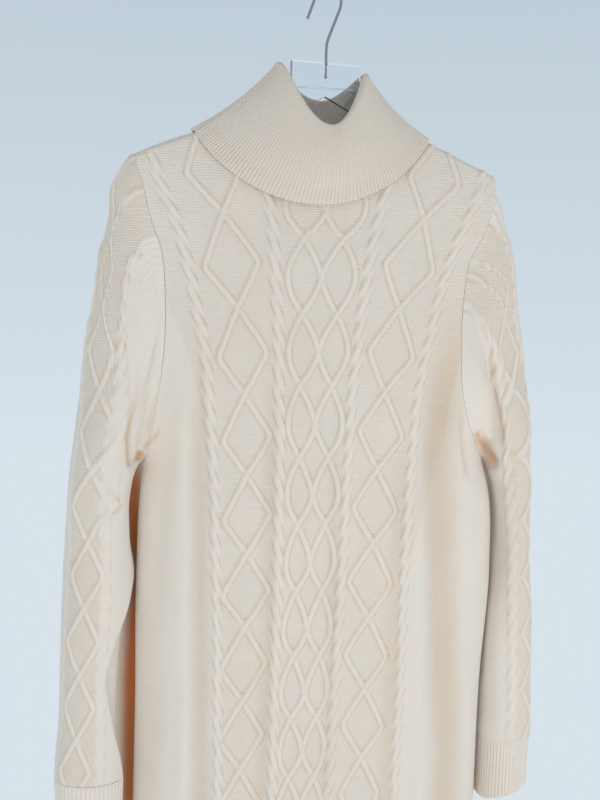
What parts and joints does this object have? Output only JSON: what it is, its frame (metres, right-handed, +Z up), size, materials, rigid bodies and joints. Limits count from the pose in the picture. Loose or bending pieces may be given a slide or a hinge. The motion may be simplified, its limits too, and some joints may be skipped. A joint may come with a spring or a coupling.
{
  "type": "sweater dress on a clear hanger",
  "caption": "Cable-knit turtleneck sweater dress with long sleeves, hanging open on a clear sheet hanger with a wire hook.",
  "frame": {"origin": "inside top of the hanger's hook, where a rail carries it", "axes": "+Z up, -Y out of the dress's front, +X to the right as one faces the front"},
  "size_m": [0.5082, 0.1187, 1.103],
  "materials": {
    "knit": "soft ivory wool knit with a light fuzz",
    "rib": "soft ivory ribbed wool knit",
    "acrylic": "clear polished acrylic",
    "chrome": "polished chrome wire"
  },
  "bodies": {
    "root": {"front": "knit", "back": "knit", "sleeve_left": "knit", "sleeve_right": "knit", "cuff_left": "rib", "cuff_right": "rib", "hem_band": "rib", "collar": "rib", "hanger": "acrylic", "hook": "chrome"}
  },
  "joints": []
}
